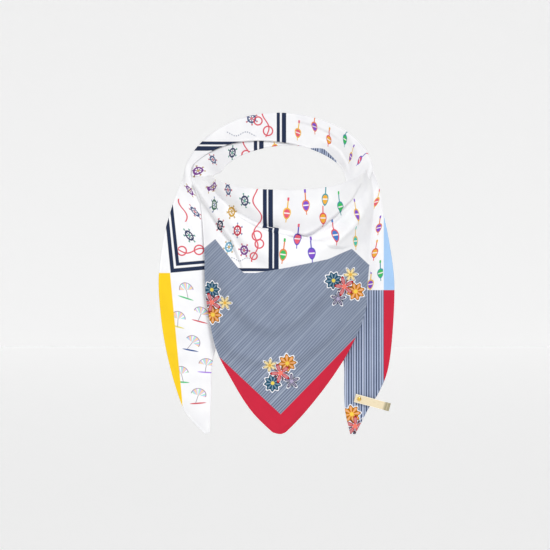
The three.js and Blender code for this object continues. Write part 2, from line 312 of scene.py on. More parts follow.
def columns(width, count):
    """Shares from 0 to 1 across rows of the given widths in mm, close together along both edges."""
    edge = HEM_STEPS[None, :] / np.maximum(width, NARROWEST)[:, None]
    inner_start = edge[:, -1:]
    steps = np.linspace(0, 1, count - 2 * len(HEM_STEPS) + 2)[1:-1][None, :]
    inside = inner_start + (1 - 2 * inner_start) * steps
    return np.concatenate([edge, inside, 1 - edge[:, ::-1]], axis=1)


def spread(surface, rows, first, count, cols):
    """A grid of points of a surface, even over each row but for the hems, and their two shares. The
    surface's first share runs from the given one to 1 and is measured at so many places."""
    coarse = np.linspace(first, 1, count)
    down, across = np.meshgrid(rows, coarse, indexing="ij")
    width = arc(surface(across, down), 1)
    shares = columns(width[:, -1], cols)
    u = np.array([np.interp(share * way[-1], way, coarse) for share, way in zip(shares, width)])
    v = np.repeat(rows[:, None], cols, axis=1)
    return surface(u, v), u, v


def hem(across):
    """Half the cloth's thickness across its rows: thin, with a rolled hem close to both edges."""
    distance = np.minimum(across, across[:, -1:] - across)
    roll = HEM_ROLL * dip(distance - HEM_AT, HEM_WIDE)
    at_edge = HEM_HALF + HEM_ROLL * dip(HEM_AT, HEM_WIDE)
    return HEM_HALF + roll - (at_edge - EDGE_HALF) * dip(distance, EDGE_WIDE)


def placed(grid, seen, turned=False):
    """Places on a piece of cloth, from places in px where they are seen on it: two distances in mm, and
    three numbers that pick the turn and the colours of what is printed there."""
    middle, _, maps = grid
    coords, x, y = maps["Cloth"], maps["Front"][..., 0], maps["Front"][..., 1]
    places = []
    for k, (px, py) in enumerate(seen):
        near = np.hypot(x - px, y - py)
        row, col = np.unravel_index(np.argmin(near + middle[..., 1] * FRONT_FIRST), near.shape)
        s, t = coords[row, col]
        mixed = [(k * share + MIX_START) % 1.0 for share in MIX_SHARES]
        places.append([-float(t), -float(s)] + mixed if turned else [float(s), float(t)] + mixed)
    return places


FRONT_COLS, FRONT_ROWS = 170, 250
# the front's upper part, down to this row of the table, has this share of the mesh's rows
FOLDED_PART, FOLDED_SHARE = 7 / 14, 0.55
# the folds stand out towards the viewer more than square to the cloth
ALONG_NORMAL, TOWARDS_VIEWER = 0.35, 0.65
MIDLINE = 6.0
LEFT_CREASE = [(191, 181), (203, 199), (214.7, 216.7), (221.6, 227.4), (231.6, 240.4), (240, 262),
               (246, 280)]

# Folds as lines of points in px of the photograph. Each has its height in mm, how sharp its lap is in
# px, or None for a round crest, the reach or width, the side shift in px, and how it fades in and out.
FRONT_FOLDS = [
    # the crease that runs down from the left shoulder, with a soft valley on its right
    (-4.4, 1.1, 8.0, 0.0, (0.03, 0.35), LEFT_CREASE),
    (-3.0, None, 5.0, 4.5, (0.3, 0.4), LEFT_CREASE),
    # the crease from the shoulder that becomes the upper edge of the long ridge
    (3.0, 0.8, 9.0, 0.0, (0.05, 0.22), [
        (197, 173), (207, 184), (215.5, 194), (225, 203), (235, 212), (250.7, 221), (268, 228),
        (281, 231), (294, 234), (310, 238.5), (326, 243.3), (343, 247)]),
    # the shaded valley under the upper lobe, on the right
    (-3.2, 0.8, 8.0, 0.0, (0.15, 0.1), [
        (284, 233), (294, 234), (305, 235.5), (315, 231), (327, 222), (335, 215.5), (344, 206.7),
        (352.8, 197.8), (362, 181)]),
    # softer folds beside it
    (-1.6, None, 2.0, 0.0, (0.2, 0.2), [(352, 209), (337, 223), (320, 238), (304, 239)]),
    (1.5, None, 6.0, 0.0, (0.25, 0.3), [(366, 196), (352, 222), (338, 240), (318, 252)]),
    (-2.0, 1.0, 5.0, 0.0, (0.2, 0.45), [(300, 236), (314, 239.5), (330, 245.5), (343, 248), (358, 243)]),
    # a shallow hollow above the ridge on the left
    (-1.4, None, 4.5, 0.0, (0.3, 0.3), [(214, 184), (232, 199), (246, 210), (262, 219)]),
    # long shallow waves down the panel
    (7.4, None, 9.5, 0.0, (0.2, 0.25), [
        (205, 256), (220, 277), (238, 301), (254, 319), (272, 326), (298, 315), (322, 290), (345, 258)]),
    (5.6, None, 7.5, 0.0, (0.25, 0.25), [
        (214, 330), (236, 350), (262, 359), (296, 356), (326, 336), (352, 312)]),
    (-2.0, None, 6.0, 0.0, (0.3, 0.3), [(209, 300), (214, 330), (224, 356)]),
]
NAPE_FOLDS = [
    (-0.9, 1.0, 6.0, 0.0, (0.3, 0.3), [(290, 121), (308, 124), (326, 131), (343, 142)]),
    (1.1, 0.9, 5.0, 0.0, (0.3, 0.3), [(314, 136), (328, 143), (340, 151), (347, 163), (350, 176)]),
    (0.9, None, 3.0, 0.0, (0.3, 0.3), [(336, 125), (349, 137), (358, 153), (361, 168)]),
]


def stands_out(folds, x, y):
    """How far cloth stands out, in mm, where it is seen at x and y in px."""
    out = np.zeros(x.shape)
    for height, sharp, reach, shift, fade, line in folds:
        d, place = line_distance(x, y, line)
        form = step_over(d, sharp, reach) if sharp else dip(d + shift, reach)
        out += height * form * ends(place, *fade)
    return out


def front_cloth():
    """The folded front: its grid of points, half its thickness, and its maps."""
    t = np.linspace(0, 1, FRONT_ROWS)
    rows = np.where(t < FOLDED_SHARE, t / FOLDED_SHARE * FOLDED_PART,
                    FOLDED_PART + (t - FOLDED_SHARE) / (1 - FOLDED_SHARE) * (1 - FOLDED_PART))
    base, _, _ = spread(drape_point, rows, -1, 161, FRONT_COLS)
    seen = seen_at(base)
    toward = normals(base) * ALONG_NORMAL + np.array([0, TOWARDS_VIEWER, 0])
    middle = base - toward * stands_out(FRONT_FOLDS, *seen)[..., None]
    around = arc(base[..., :2], 1)
    midline = np.array([np.interp(MIDLINE, row[:, 0], way) for row, way in zip(base, around)])
    maps = {"Cloth": np.stack([around - midline[:, None], -base[..., 2]], -1),
            "Front": np.stack(seen, -1)}
    return middle, hem(arc(middle, 1)), maps


END_COLS, END_ROWS, TUCK_ROWS = 60, 320, 8
# the creases lie on the front of the band alone, and stop where the tail begins and at the fold's edge
CREASE_FACING, CREASE_STOP, CREASE_STOP_RATE, CREASE_EDGE_RATE = 2, 0.5, 20, 12
NECK_SIDE = 74.0
RIGHT_TUCK, LEFT_TUCK = (0.18, 14.0, 10.0), (0.04, 3.2, 9.0)


def end_cloth(band, tail, tuck, folds=()):
    """One end of the scarf: its grid of points, half its thickness, and its maps. The tuck is how it
    goes on behind the front at its shoulder: a share by which it draws in towards the neck, and its
    ways forward and down in mm."""
    s = np.linspace(0, 1, END_ROWS)
    base, u, v = spread(lambda u, v: end_point(band, tail, u, v), s, 0, 121, END_COLS)
    if folds:
        n = normals(base)
        facing = (smooth(-n[..., 1] * CREASE_FACING) * smooth((CREASE_STOP - v) * CREASE_STOP_RATE)
                  * smooth(u * CREASE_EDGE_RATE))
        base = base + n * (facing * stands_out(folds, *seen_at(base)))[..., None]
    draw_in, forward, down = tuck
    start = base[0]
    inward = (NECK_SIDE - np.abs(start[:, 0])) * np.sign(start[:, 0]) * draw_in
    reach = np.stack([inward, np.full(END_COLS, -forward), np.full(END_COLS, -down)], -1)
    base = np.concatenate([start + np.linspace(1, 0, TUCK_ROWS)[:-1, None, None] * reach, base])
    across = arc(base, 1)
    length, share = (np.repeat(way[:, None], END_COLS, axis=1) for way in (
        arc(base, 0).mean(axis=1), np.concatenate([np.zeros(TUCK_ROWS - 1), s])))
    maps = {"Cloth": np.stack([across, length], -1), "Front": np.stack(seen_at(base), -1),
            "Share": np.stack([share, share], -1)}
    return base, hem(across), maps


# The label and its stud, in mm and degrees.
LABEL_LENGTH, LABEL_WIDTH, LABEL_HALF = 38.0, 8.5, 0.3
LABEL_TILT, LABEL_YAW = 16.5, 13.0
LABEL_AT = np.array([95.7, -81.45, -234.7])
LABEL_COLS, LABEL_ROWS = 90, 26
FREE_FROM, LIFT, RIPPLE, RIPPLE_RATE, BOW = -4.0, 0.8, 0.12, 0.5, 0.25
RIM_SHARE, RIM_WIDE, WOVEN_EDGE, WOVEN_EDGE_AT, WOVEN_EDGE_WIDE = 0.55, 0.5, 0.1, 0.75, 0.22
STUD_PLACE = 4.5 - LABEL_LENGTH / 2
STUD_SIDES = 48
# radius and place in front of the label's middle, from the foot to the crown
STUD_RINGS = [(2.0, -0.33), (2.1, -0.46), (2.1, -0.7), (2.0, -0.8), (1.86, -0.84), (1.75, -1.02),
              (1.45, -1.3), (1.0, -1.5), (0.5, -1.6), (0.0, -1.62)]


def from_label(points):
    """Points in the label's own frame, length along x and front towards -y, taken to the scarf's."""
    a, b = math.radians(LABEL_TILT), math.radians(LABEL_YAW)
    tilt = np.array([[math.cos(a), 0, math.sin(a)], [0, 1, 0], [-math.sin(a), 0, math.cos(a)]])
    yaw = np.array([[math.cos(b), -math.sin(b), 0], [math.sin(b), math.cos(b), 0], [0, 0, 1]])
    return points @ (yaw @ tilt).T + LABEL_AT


def ribbon():
    """The label's grid of points, half its thickness, and its map. Towards its free end it lifts,
    ripples and bows a little, and it has a woven edge."""
    x = np.linspace(-0.5, 0.5, LABEL_COLS) * LABEL_LENGTH
    z = np.linspace(0.5, -0.5, LABEL_ROWS) * LABEL_WIDTH
    zz, xx = np.meshgrid(z, x, indexing="ij")
    free = smooth((xx - FREE_FROM) / (LABEL_LENGTH / 2 - FREE_FROM))
    bow = 1 - (2 * zz / LABEL_WIDTH) ** 2
    out = free * (RIPPLE * np.sin(xx * RIPPLE_RATE) - LIFT - BOW * bow)
    points = from_label(np.stack([xx, out, zz], -1))
    rim = np.minimum(LABEL_WIDTH / 2 - np.abs(zz), LABEL_LENGTH / 2 - np.abs(xx))
    half = LABEL_HALF * (RIM_SHARE + (1 - RIM_SHARE) * smooth(rim / RIM_WIDE))
    half = half + WOVEN_EDGE * dip(rim - WOVEN_EDGE_AT, WOVEN_EDGE_WIDE)
    return points, half, {"Cloth": np.stack([xx, zz], -1)}


def stud(material):
    """A round foot with a soft rim and a shallow dome: a flat cone whose face is drawn out ring by ring,
    then set on the label. Its UV map Around holds the distances from its middle in mm."""
    (foot, low), (radius, front) = STUD_RINGS[:2]
    bpy.ops.object.select_all(action="DESELECT")
    bpy.ops.mesh.primitive_cone_add(
        vertices=STUD_SIDES, radius1=foot, radius2=radius, depth=low - front, end_fill_type="NGON",
        calc_uvs=False, location=(0, (low + front) / 2, 0), rotation=(math.radians(90), 0, 0))
    obj = bpy.context.object
    obj.name = obj.data.name = "stud_dome"
    bpy.ops.object.transform_apply(location=True, rotation=True, scale=True)
    bpy.ops.object.mode_set(mode="EDIT")
    bpy.ops.mesh.select_mode(type="FACE")
    bpy.ops.mesh.select_all(action="DESELECT")
    bpy.ops.object.mode_set(mode="OBJECT")
    min(obj.data.polygons, key=lambda face: face.center.y).select = True
    bpy.ops.object.mode_set(mode="EDIT")
    for wide, further in STUD_RINGS[2:]:
        bpy.ops.mesh.extrude_faces_indiv()
        bpy.ops.transform.translate(value=(0, further - front, 0))
        grow = wide / radius
        bpy.ops.transform.resize(value=(grow, 1, grow), center_override=(0, further, 0))
        radius, front = wide, further
    bpy.ops.mesh.merge(type="CENTER")
    bpy.ops.mesh.select_all(action="SELECT")
    bpy.ops.mesh.normals_make_consistent(inside=False)
    bpy.ops.object.mode_set(mode="OBJECT")
    bpy.ops.object.shade_smooth()
    mesh = obj.data
    points = np.array([vertex.co for vertex in mesh.vertices])
    around = [points[loop.vertex_index][[0, 2]] for loop in mesh.loops]
    mesh.uv_layers.new(name="Around").data.foreach_set("uv", np.array(around, np.float32).ravel())
    on_label = from_label(points + [STUD_PLACE, 0, 0]) * MM
    mesh.vertices.foreach_set("co", on_label.ravel())
    mesh.update()
    mesh.materials.append(material)
    return obj


# Materials, as arithmetic on node sockets. The Mix node has its own sockets for each kind of value.
MIX_INPUT, MIX_OUTPUT = {"VECTOR": 4, "RGBA": 6}, {"VECTOR": 1, "RGBA": 2}


def tint(r, g, b):
    """An sRGB colour from 0 to 255 as Blender's linear one."""
    return tuple((c / 255 / 12.92 if c <= 10 else ((c / 255 + 0.055) / 1.055) ** 2.4)
                 for c in (r, g, b)) + (1.0,)


class Wire:
    """A value that runs from one node to the next. Arithmetic on it adds Math nodes."""

    def __init__(self, net, socket):
        self.net, self.socket = net, socket

    def math(self, operation, *others, clamp=False):
        node = self.net.add("ShaderNodeMath", self, *others, operation=operation, use_clamp=clamp)
        return Wire(self.net, node.outputs[0])

    def __add__(self, other):
        return self.math("ADD", other)

    def __sub__(self, other):
        return self.math("SUBTRACT", other)

    def __rsub__(self, other):
        return self * -1 + other

    def __mul__(self, other):
        return self.math("MULTIPLY", other)

    def __truediv__(self, other):
        return self.math("DIVIDE", other)

    def __abs__(self):
        return self.math("ABSOLUTE")

    def low(self, other):
        return self.math("MINIMUM", other)

    def high(self, other):
        return self.math("MAXIMUM", other)

    def sin(self):
        return self.math("SINE")

    def fract(self):
        return self.math("FRACT")

    def under(self, limit, soft):
        """1 where this is below the limit, 0 above it, with an edge as wide as soft."""
        return self.math("MULTIPLY_ADD", -1 / soft, limit / soft + 0.5, clamp=True)

    def over(self, limit, soft):
        if isinstance(limit, Wire):
            return ((self - limit) / soft).math("ADD", 0.5, clamp=True)
        return self.math("MULTIPLY_ADD", 1 / soft, 0.5 - limit / soft, clamp=True)

    def between(self, a, b, soft):
        return abs(self - (a + b) / 2).under((b - a) / 2, soft)


class Net:
    """The nodes of one material."""

    def __init__(self, name):
        self.material = bpy.data.materials.new(name)
        self.material.use_nodes = True
        self.tree = self.material.node_tree
        self.shader = self.tree.nodes["Principled BSDF"]

    def add(self, kind, *values, **settings):
        node = self.tree.nodes.new(kind)
        for key, value in settings.items():
            setattr(node, key, value)
        for socket, value in zip(node.inputs, values):
            self.put(socket, value)
        return node

    def put(self, socket, value):
        if isinstance(value, Wire):
            self.tree.links.new(value.socket, socket)
        else:
            socket.default_value = value

    def finish(self, **numbers):
        """Sets numbers that are the same all over the surface, and gives the material."""
        for socket, number in numbers.items():
            self.shader.inputs[socket.replace("_", " ")].default_value = number
        return self.material

    def coords(self, uv_map):
        """The x and y of a UV map."""
        node = self.add("ShaderNodeUVMap", uv_map=uv_map)
        return self.parts(Wire(self, node.outputs[0]))[:2]

    def vector(self, x, y):
        return Wire(self, self.add("ShaderNodeCombineXYZ", x, y).outputs[0])

    def parts(self, vector):
        node = self.add("ShaderNodeSeparateXYZ", vector)
        return [Wire(self, out) for out in node.outputs]

    def turned(self, x, y, angle):
        node = self.add("ShaderNodeVectorRotate", rotation_type="Z_AXIS")
        self.put(node.inputs["Vector"], self.vector(x, y))
        self.put(node.inputs["Angle"], angle)
        return self.parts(Wire(self, node.outputs[0]))[:2]

    def length(self, x, y):
        node = self.add("ShaderNodeVectorMath", self.vector(x, y), operation="LENGTH")
        return Wire(self, node.outputs["Value"])

    def bearing(self, x, y):
        return x.math("ARCTAN2", y)

    def mix(self, kind, under, over, mask, **settings):
        """One colour or vector over another."""
        node = self.add("ShaderNodeMix", mask, data_type=kind, **settings)
        self.put(node.inputs[MIX_INPUT[kind]], under)
        self.put(node.inputs[MIX_INPUT[kind] + 1], over)
        return Wire(self, node.outputs[MIX_OUTPUT[kind]])

    def paint(self, under, colour, mask, **settings):
        return self.mix("RGBA", under, colour, mask, **settings)

    def noise(self, x, y, scale, detail):
        node = self.add("ShaderNodeTexNoise", self.vector(x, y), noise_dimensions="2D")
        self.put(node.inputs["Scale"], scale)
        self.put(node.inputs["Detail"], detail)
        return Wire(self, node.outputs[0])

    def bump(self, height, strength, distance):
        node = self.add("ShaderNodeBump")
        self.put(node.inputs["Strength"], strength)
        self.put(node.inputs["Distance"], distance)
        self.put(node.inputs["Height"], height)
        self.put(self.shader.inputs["Normal"], Wire(self, node.outputs[0]))

    def spots(self, x, y, places, size):
        """x and y from the nearest of the given places, over the size, and the three numbers given with
        that place."""
        here = self.vector(x, y)
        best = offset = numbers = None
        for px, py, *given in places:
            step = Wire(self, self.add("ShaderNodeVectorMath", here, (px, py, 0),
                                       operation="SUBTRACT").outputs[0])
            far = Wire(self, self.add("ShaderNodeVectorMath", step, operation="LENGTH").outputs["Value"])
            if best is None:
                best, offset, numbers = far, step, tuple(given)
                continue
            closer = far.math("LESS_THAN", best)
            offset = self.mix("VECTOR", offset, step, closer)
            numbers = self.mix("VECTOR", numbers, tuple(given), closer)
            best = best.low(far)
        dx, dy, _ = self.parts(offset)
        return dx / size, dy / size, self.parts(numbers)

    def choice(self, value, colours):
        """One of several colours, picked by a number from 0 to 1."""
        node = self.add("ShaderNodeValToRGB", value)
        ramp = node.color_ramp
        ramp.interpolation = "CONSTANT"
        while len(ramp.elements) < len(colours):
            ramp.elements.new(0.5)
        for k, colour in enumerate(colours):
            ramp.elements[k].position = k / len(colours)
            ramp.elements[k].color = colour
        return Wire(self, node.outputs[0])

    def curve(self, value, points, across, down):
        """A value read off a line of straight pieces through (x, y) points, in the given ranges."""
        node = self.add("ShaderNodeFloatCurve")
        self.put(node.inputs["Value"], (value - across[0]) / (across[1] - across[0]))
        line = node.mapping.curves[0]
        scaled = [((x - across[0]) / (across[1] - across[0]), (y - down[0]) / (down[1] - down[0]))
                  for x, y in points]
        while len(line.points) < len(scaled):
            line.points.new(0.5, 0.5)
        for point, place in zip(line.points, scaled):
            point.location = place
            point.handle_type = "VECTOR"
        node.mapping.extend = "HORIZONTAL"
        node.mapping.use_clip = False
        node.mapping.update()
        return Wire(self, node.outputs[0]) * (down[1] - down[0]) + down[0]


WHITE, NAVY = tint(250, 250, 250), tint(30, 44, 74)
RED, YELLOW = tint(209, 35, 63), tint(255, 212, 30)
SKY = tint(170, 208, 246)
GREY, INK = tint(178, 182, 194), tint(222, 66, 84)
# the middle tone, a dark, a light and a bright line of the pinstripes
BIB_STRIPES = tint(134, 145, 164), tint(100, 111, 134), tint(158, 169, 188), tint(171, 181, 198)
TAIL_STRIPES = tint(120, 132, 158), tint(58, 71, 102), tint(178, 191, 216), tint(196, 206, 226)

WHEEL_SIZE, WHEEL_SPOKES = 1.22, 6
WHEEL_COLOURS = [NAVY, tint(122, 60, 140), tint(70, 110, 90), tint(196, 50, 70), tint(80, 92, 130),
                 tint(206, 160, 60), tint(110, 170, 196), tint(60, 70, 100)]
KNOB_COLOURS = [tint(200, 170, 110), tint(150, 160, 190), tint(110, 170, 150), tint(214, 120, 130)]


def wheels(net, colour, x, y, where, places):
    """Small ship's wheels in mixed colours."""
    dx, dy, (r1, r2, r3) = net.spots(x, y, places, WHEEL_SIZE)
    r, a = net.length(dx, dy), net.bearing(dy, dx) + r1 * math.tau
    wedge = math.tau / WHEEL_SPOKES
    off = abs((a * (1 / wedge)).fract() - 0.5) * wedge * r
    spoke = off.under(0.42, 0.25) * r.under(5.4, 0.3)
    knob = off.under(0.8, 0.25) * r.between(4.9, 6.1, 0.3)
    ring = r.between(2.6, 4.1, 0.25)
    hub = r.under(1.2, 0.25)
    colour = net.paint(colour, net.choice(r2, WHEEL_COLOURS), spoke.high(ring) * where)
    return net.paint(colour, net.choice(r3, KNOB_COLOURS), hub.high(knob) * where)


FLOAT_SIZE, FLOAT_LEAN = 1.05, 0.3
FLOAT_COLOURS = [tint(232, 96, 116), tint(64, 190, 96), tint(66, 126, 200), tint(130, 80, 200),
                 tint(70, 200, 180), tint(240, 176, 60)]
TRIM_COLOURS = [tint(240, 190, 70), tint(60, 150, 160), tint(224, 80, 90), tint(96, 84, 190),
                tint(232, 130, 70)]


def floats(net, colour, x, y, where, places, size=FLOAT_SIZE):
    """Fishing floats: a thin antenna above a painted bulb, with a short stem below it."""
    dx, dy, (r1, r2, r3) = net.spots(x, y, places, size)
    dx, dy = net.turned(dx, dy, (r1 - 0.5) * FLOAT_LEAN)
    bulb_at, belt_at = dy - 3.0, dy - 2.6
    width = 3.7 - bulb_at * 0.16
    bulb = net.length(dx / width, bulb_at / 5.6)
    rod = abs(dx).under(0.62, 0.3) * dy.between(-12.0, -1.0, 0.4)
    stem = abs(dx).under(0.45, 0.3) * dy.between(7.0, 11.5, 0.4)
    tip = abs(dx).under(1.0, 0.3) * dy.between(-12.0, -9.0, 0.4)
    body, edge = net.choice(r2, FLOAT_COLOURS), net.choice(r3, TRIM_COLOURS)
    shell = bulb.under(0.76, 0.1)
    colour = net.paint(colour, edge, rod.high(stem) * where)
    colour = net.paint(colour, body, tip * where)
    colour = net.paint(colour, edge, bulb.under(1.0, 0.1) * where)
    colour = net.paint(colour, body, shell * where)
    return net.paint(colour, tint(250, 240, 236), shell * belt_at.between(-0.6, 0.6, 0.3) * where)


PARASOL_SIZE, PARASOL_LEAN, PARASOL_REPEAT = 1.12, 0.9, 3.0
GROUND_COLOURS = [tint(90, 200, 130), tint(60, 90, 150), tint(214, 90, 100), tint(170, 130, 230),
                  tint(230, 220, 120)]
WEDGE_COLOURS = [tint(250, 236, 150), tint(250, 190, 200), tint(176, 216, 250), tint(190, 240, 200),
                 tint(255, 255, 255), tint(214, 190, 250)]


def parasols(net, colour, x, y, where, places):
    """Beach parasols in pale wedges, each on a thin pole over a strip of ground."""
    dx, dy, (r1, r2, r3) = net.spots(x, y, places, PARASOL_SIZE)
    ground = net.length(dx / 7.5, (dy - 7.0) / 0.7).under(1.0, 0.2)
    ax, ay = net.turned(dx, dy, (r1 - 0.5) * PARASOL_LEAN)
    pole = abs(ax).under(0.28, 0.3) * ay.between(-6.5, 7.0, 0.3)
    r = net.length(ax / 7.2, (ay + 0.5) / 6.6)
    above = ay.under(-0.5, 0.3)
    wedge = (net.bearing(ax, 1 - ay) * (PARASOL_REPEAT / math.pi) + r3).fract()
    colour = net.paint(colour, net.choice(r2, GROUND_COLOURS), ground * where)
    colour = net.paint(colour, tint(150, 140, 150), pole * where)
    colour = net.paint(colour, net.choice(wedge, WEDGE_COLOURS), r.under(1.0, 0.06) * above * where)
    return net.paint(colour, tint(160, 140, 160), r.between(0.92, 1.02, 0.05) * above * where)


# Sea stars, each with its x, y, radius, arms, depth of the arms, turn, colour and heart. The last lies
# on top.
SEA_STARS = [
    (-8.5, -9.5, 8.6, 9, 0.12, 0.3, tint(34, 98, 128), tint(240, 214, 90)),
    (9.0, 8.5, 9.2, 8, 0.14, 0.9, tint(236, 150, 40), tint(250, 214, 80)),
    (-10.0, 9.5, 7.6, 5, 0.40, 0.2, tint(80, 68, 116), tint(180, 170, 200)),
    (10.0, -9.0, 7.2, 6, 0.30, 1.0, tint(250, 222, 140), tint(236, 180, 70)),
    (0.0, 0.0, 10.6, 5, 0.42, 0.5, tint(200, 34, 46), tint(246, 130, 112)),
]
MARGIN, OUTLINE = 1.1, 0.75


def sea_cluster(net, colour, x, y, where):
    """Sea stars and shells set close together, with a white margin round them."""
    stars = []
    margin = None
    for cx, cy, radius, arms, depth, turn, fill, heart in SEA_STARS:
        dx, dy = x - cx, y - cy
        r, a = net.length(dx, dy), net.bearing(dy, dx)
        wave = (a * arms + turn * arms).sin()
        reach = wave * (radius * depth) + radius * (1 - depth)
        out = r - reach
        outside = out.under(MARGIN, 0.3)
        margin = outside if margin is None else margin.high(outside)
        stars.append((r, wave, out, radius, fill, heart))
    colour = net.paint(colour, tint(250, 250, 252), margin * where)
    for r, wave, out, radius, fill, heart in stars:
        dark = tuple(c * 0.2 for c in fill[:3]) + (1.0,)
        light = tuple(min(1.0, c * 0.5 + 0.45) for c in fill[:3]) + (1.0,)
        gleam = wave.over(0.55, 0.3) * r.between(radius * 0.25, radius * 0.8, 0.6)
        gleam = gleam * out.under(-0.8, 0.3) * 0.5
        groove = wave.under(-0.72, 0.2) * r.between(radius * 0.3, radius * 0.7, 0.5) * 0.8
        for paint, mask in ((dark, out.under(0.0, 0.25)), (fill, out.under(-OUTLINE, 0.4)),
                            (light, gleam), (dark, groove), (heart, r.under(radius * 0.22, 0.4))):
            colour = net.paint(colour, paint, mask * where)
    return colour


STRIPE_SOFT, ACCENT_EVERY = 0.6, 3.5


def pinstripes(net, colour, across, where, pitch, tones, strength=1.0):
    """Fine dark and pale stripes, with a brighter line every few stripes."""
    middle, dark, light, bright = tones
    phase = (across / pitch).fract()
    lines = net.paint(light, dark, abs(phase - 0.5).under(0.25, STRIPE_SOFT / pitch))
    accent = abs((across / (pitch * ACCENT_EVERY)).fract() - 0.5).under(0.07, 0.1)
    slow = net.noise(across, 0.0, 0.11, 1.0).over(0.47, 0.12)
    lines = net.paint(lines, bright, accent * slow)
    return net.paint(colour, net.paint(middle, lines, strength), where)


INK_HALF, INK_STRENGTH = 0.7, 0.95


def scroll(net, colour, x, y, where, centre, rings, rows):
    """A thin red line that wanders along y, with a few open loops."""
    wave = (y * 0.21).sin() * 3.2 + (y * 0.093).sin() * 2.0
    line = abs(x - centre - wave).under(INK_HALF, 0.5)
    for cx, cy, radius in rings:
        line = line.high(abs(net.length(x - cx, y - cy) - radius).under(INK_HALF, 0.5))
    return net.paint(colour, INK, line * where * y.between(*rows, 0.5) * INK_STRENGTH)


# the twill's pitch in mm, and the slower ribs across it
TWILL_PITCH, RIB_PITCH = 0.62, 1.9


def finish_cloth(net, colour, s, t):
    """Fine twill, soft unevenness and a light sheen."""
    twill = ((s + t) * (math.tau / TWILL_PITCH)).sin() * 0.5
    ribs = ((s - t) * (math.tau / RIB_PITCH)).sin() * 0.18
    shade = net.paint(tint(238, 238, 242), tint(255, 255, 255), net.noise(s, t, 0.05, 3.0))
    net.put(net.shader.inputs["Base Color"], net.paint(colour, shade, 1.0, blend_type="MULTIPLY"))
    net.bump(twill + ribs + net.noise(s, t, 0.35, 3.0) * 1.5, 0.25, 0.00012)
    return net.finish(Roughness=0.62, Specular_IOR_Level=0.18, Sheen_Weight=0.04, Sheen_Roughness=0.4)


# Where the prints lie, in px of the photograph.
FRONT_WHEELS = [(213, 187), (228, 190), (244, 201), (215, 205), (231, 212), (220, 225), (238, 231),
                (228, 247), (245, 250)]
FRONT_FLOATS = [(287, 211), (305, 202), (322, 215), (339, 204), (356, 212), (297, 236), (335, 232),
                (355, 238), (283, 252), (312, 251), (325, 196)]
NAPE_WHEELS = [(237, 126), (251, 119)]
NAPE_FLOATS = [(298, 131), (314, 124), (329, 138), (345, 137), (351, 155), (361, 159)]
SIDE_WHEELS = [(198, 171), (213, 160), (232, 153)]
SIDE_FLOATS = [(275, 146), (300, 148), (318, 152)]
PANEL_WHEELS = [(190, 190), (195, 212), (190, 235)]
LEFT_PARASOLS = [(187, 290), (201, 314), (178, 319), (192, 344), (206, 366), (182, 374), (198, 396)]
EDGE_FLOATS = [(377, 200), (379, 226), (375, 250), (380, 271), (370, 282)]
# the upper edge of the front's striped panel, and the lower edge of the band at the nape on its right
PANEL_TOP = [(180, 270), (203.5, 249), (215.2, 239.2), (237.7, 267.5), (244, 273), (256, 273),
             (290, 267), (328, 259), (351.6, 248.8), (369.2, 265.4), (400, 290)]
NAPE_FOOT = [(300, 146.5), (311, 148.3), (320, 151), (328, 155), (338, 162)]
# the row in which the print jumps at the long ridge, and how far
RIDGE_ROW, RIDGE_JUMP = 228.0, 5.8
# the front's pinstripes: their slant in degrees, their pitch, and how clear they are above and below
SLANT, BIB_PITCH, FAINT, CLEARER = 46, 2.32, 0.42, 0.5
# the red border's corner, and how steep its two sides are
CORNER_X, CORNER_Y, LEFT_SLOPE, RIGHT_SLOPE = 280.5, 414.2, 0.94, 1.03
# the share of an end's length where its band becomes its tail
TAIL_FROM = 0.6
# the left tail's frame leans a little: its upright and level bars, outer and inner
OUTER_LEAN, OUTER_FALL, INNER_LEAN, INNER_FALL, BORDER_LEAN = 0.1, 0.09, 0.108, 0.085, 0.0955
# the right tail's rows and column where its print changes
BLUE_FROM, RED_FROM, EDGE_COLUMN = 196.0, 290.2, 383.6


def colour_is_white(net, colour):
    """1 where the cloth has no print."""
    node = net.add("ShaderNodeSeparateColor", colour)
    r, g, b = [Wire(net, out) for out in node.outputs]
    return r.low(g).low(b).over(0.8, 0.1)


def dotted_line(x, y, row, wave, height):
    """A dotted grey line that waves along a row."""
    return abs(y - row - (x * wave).sin() * height).under(0.6, 0.4) * (x * 0.45).fract().under(0.6, 0.2)


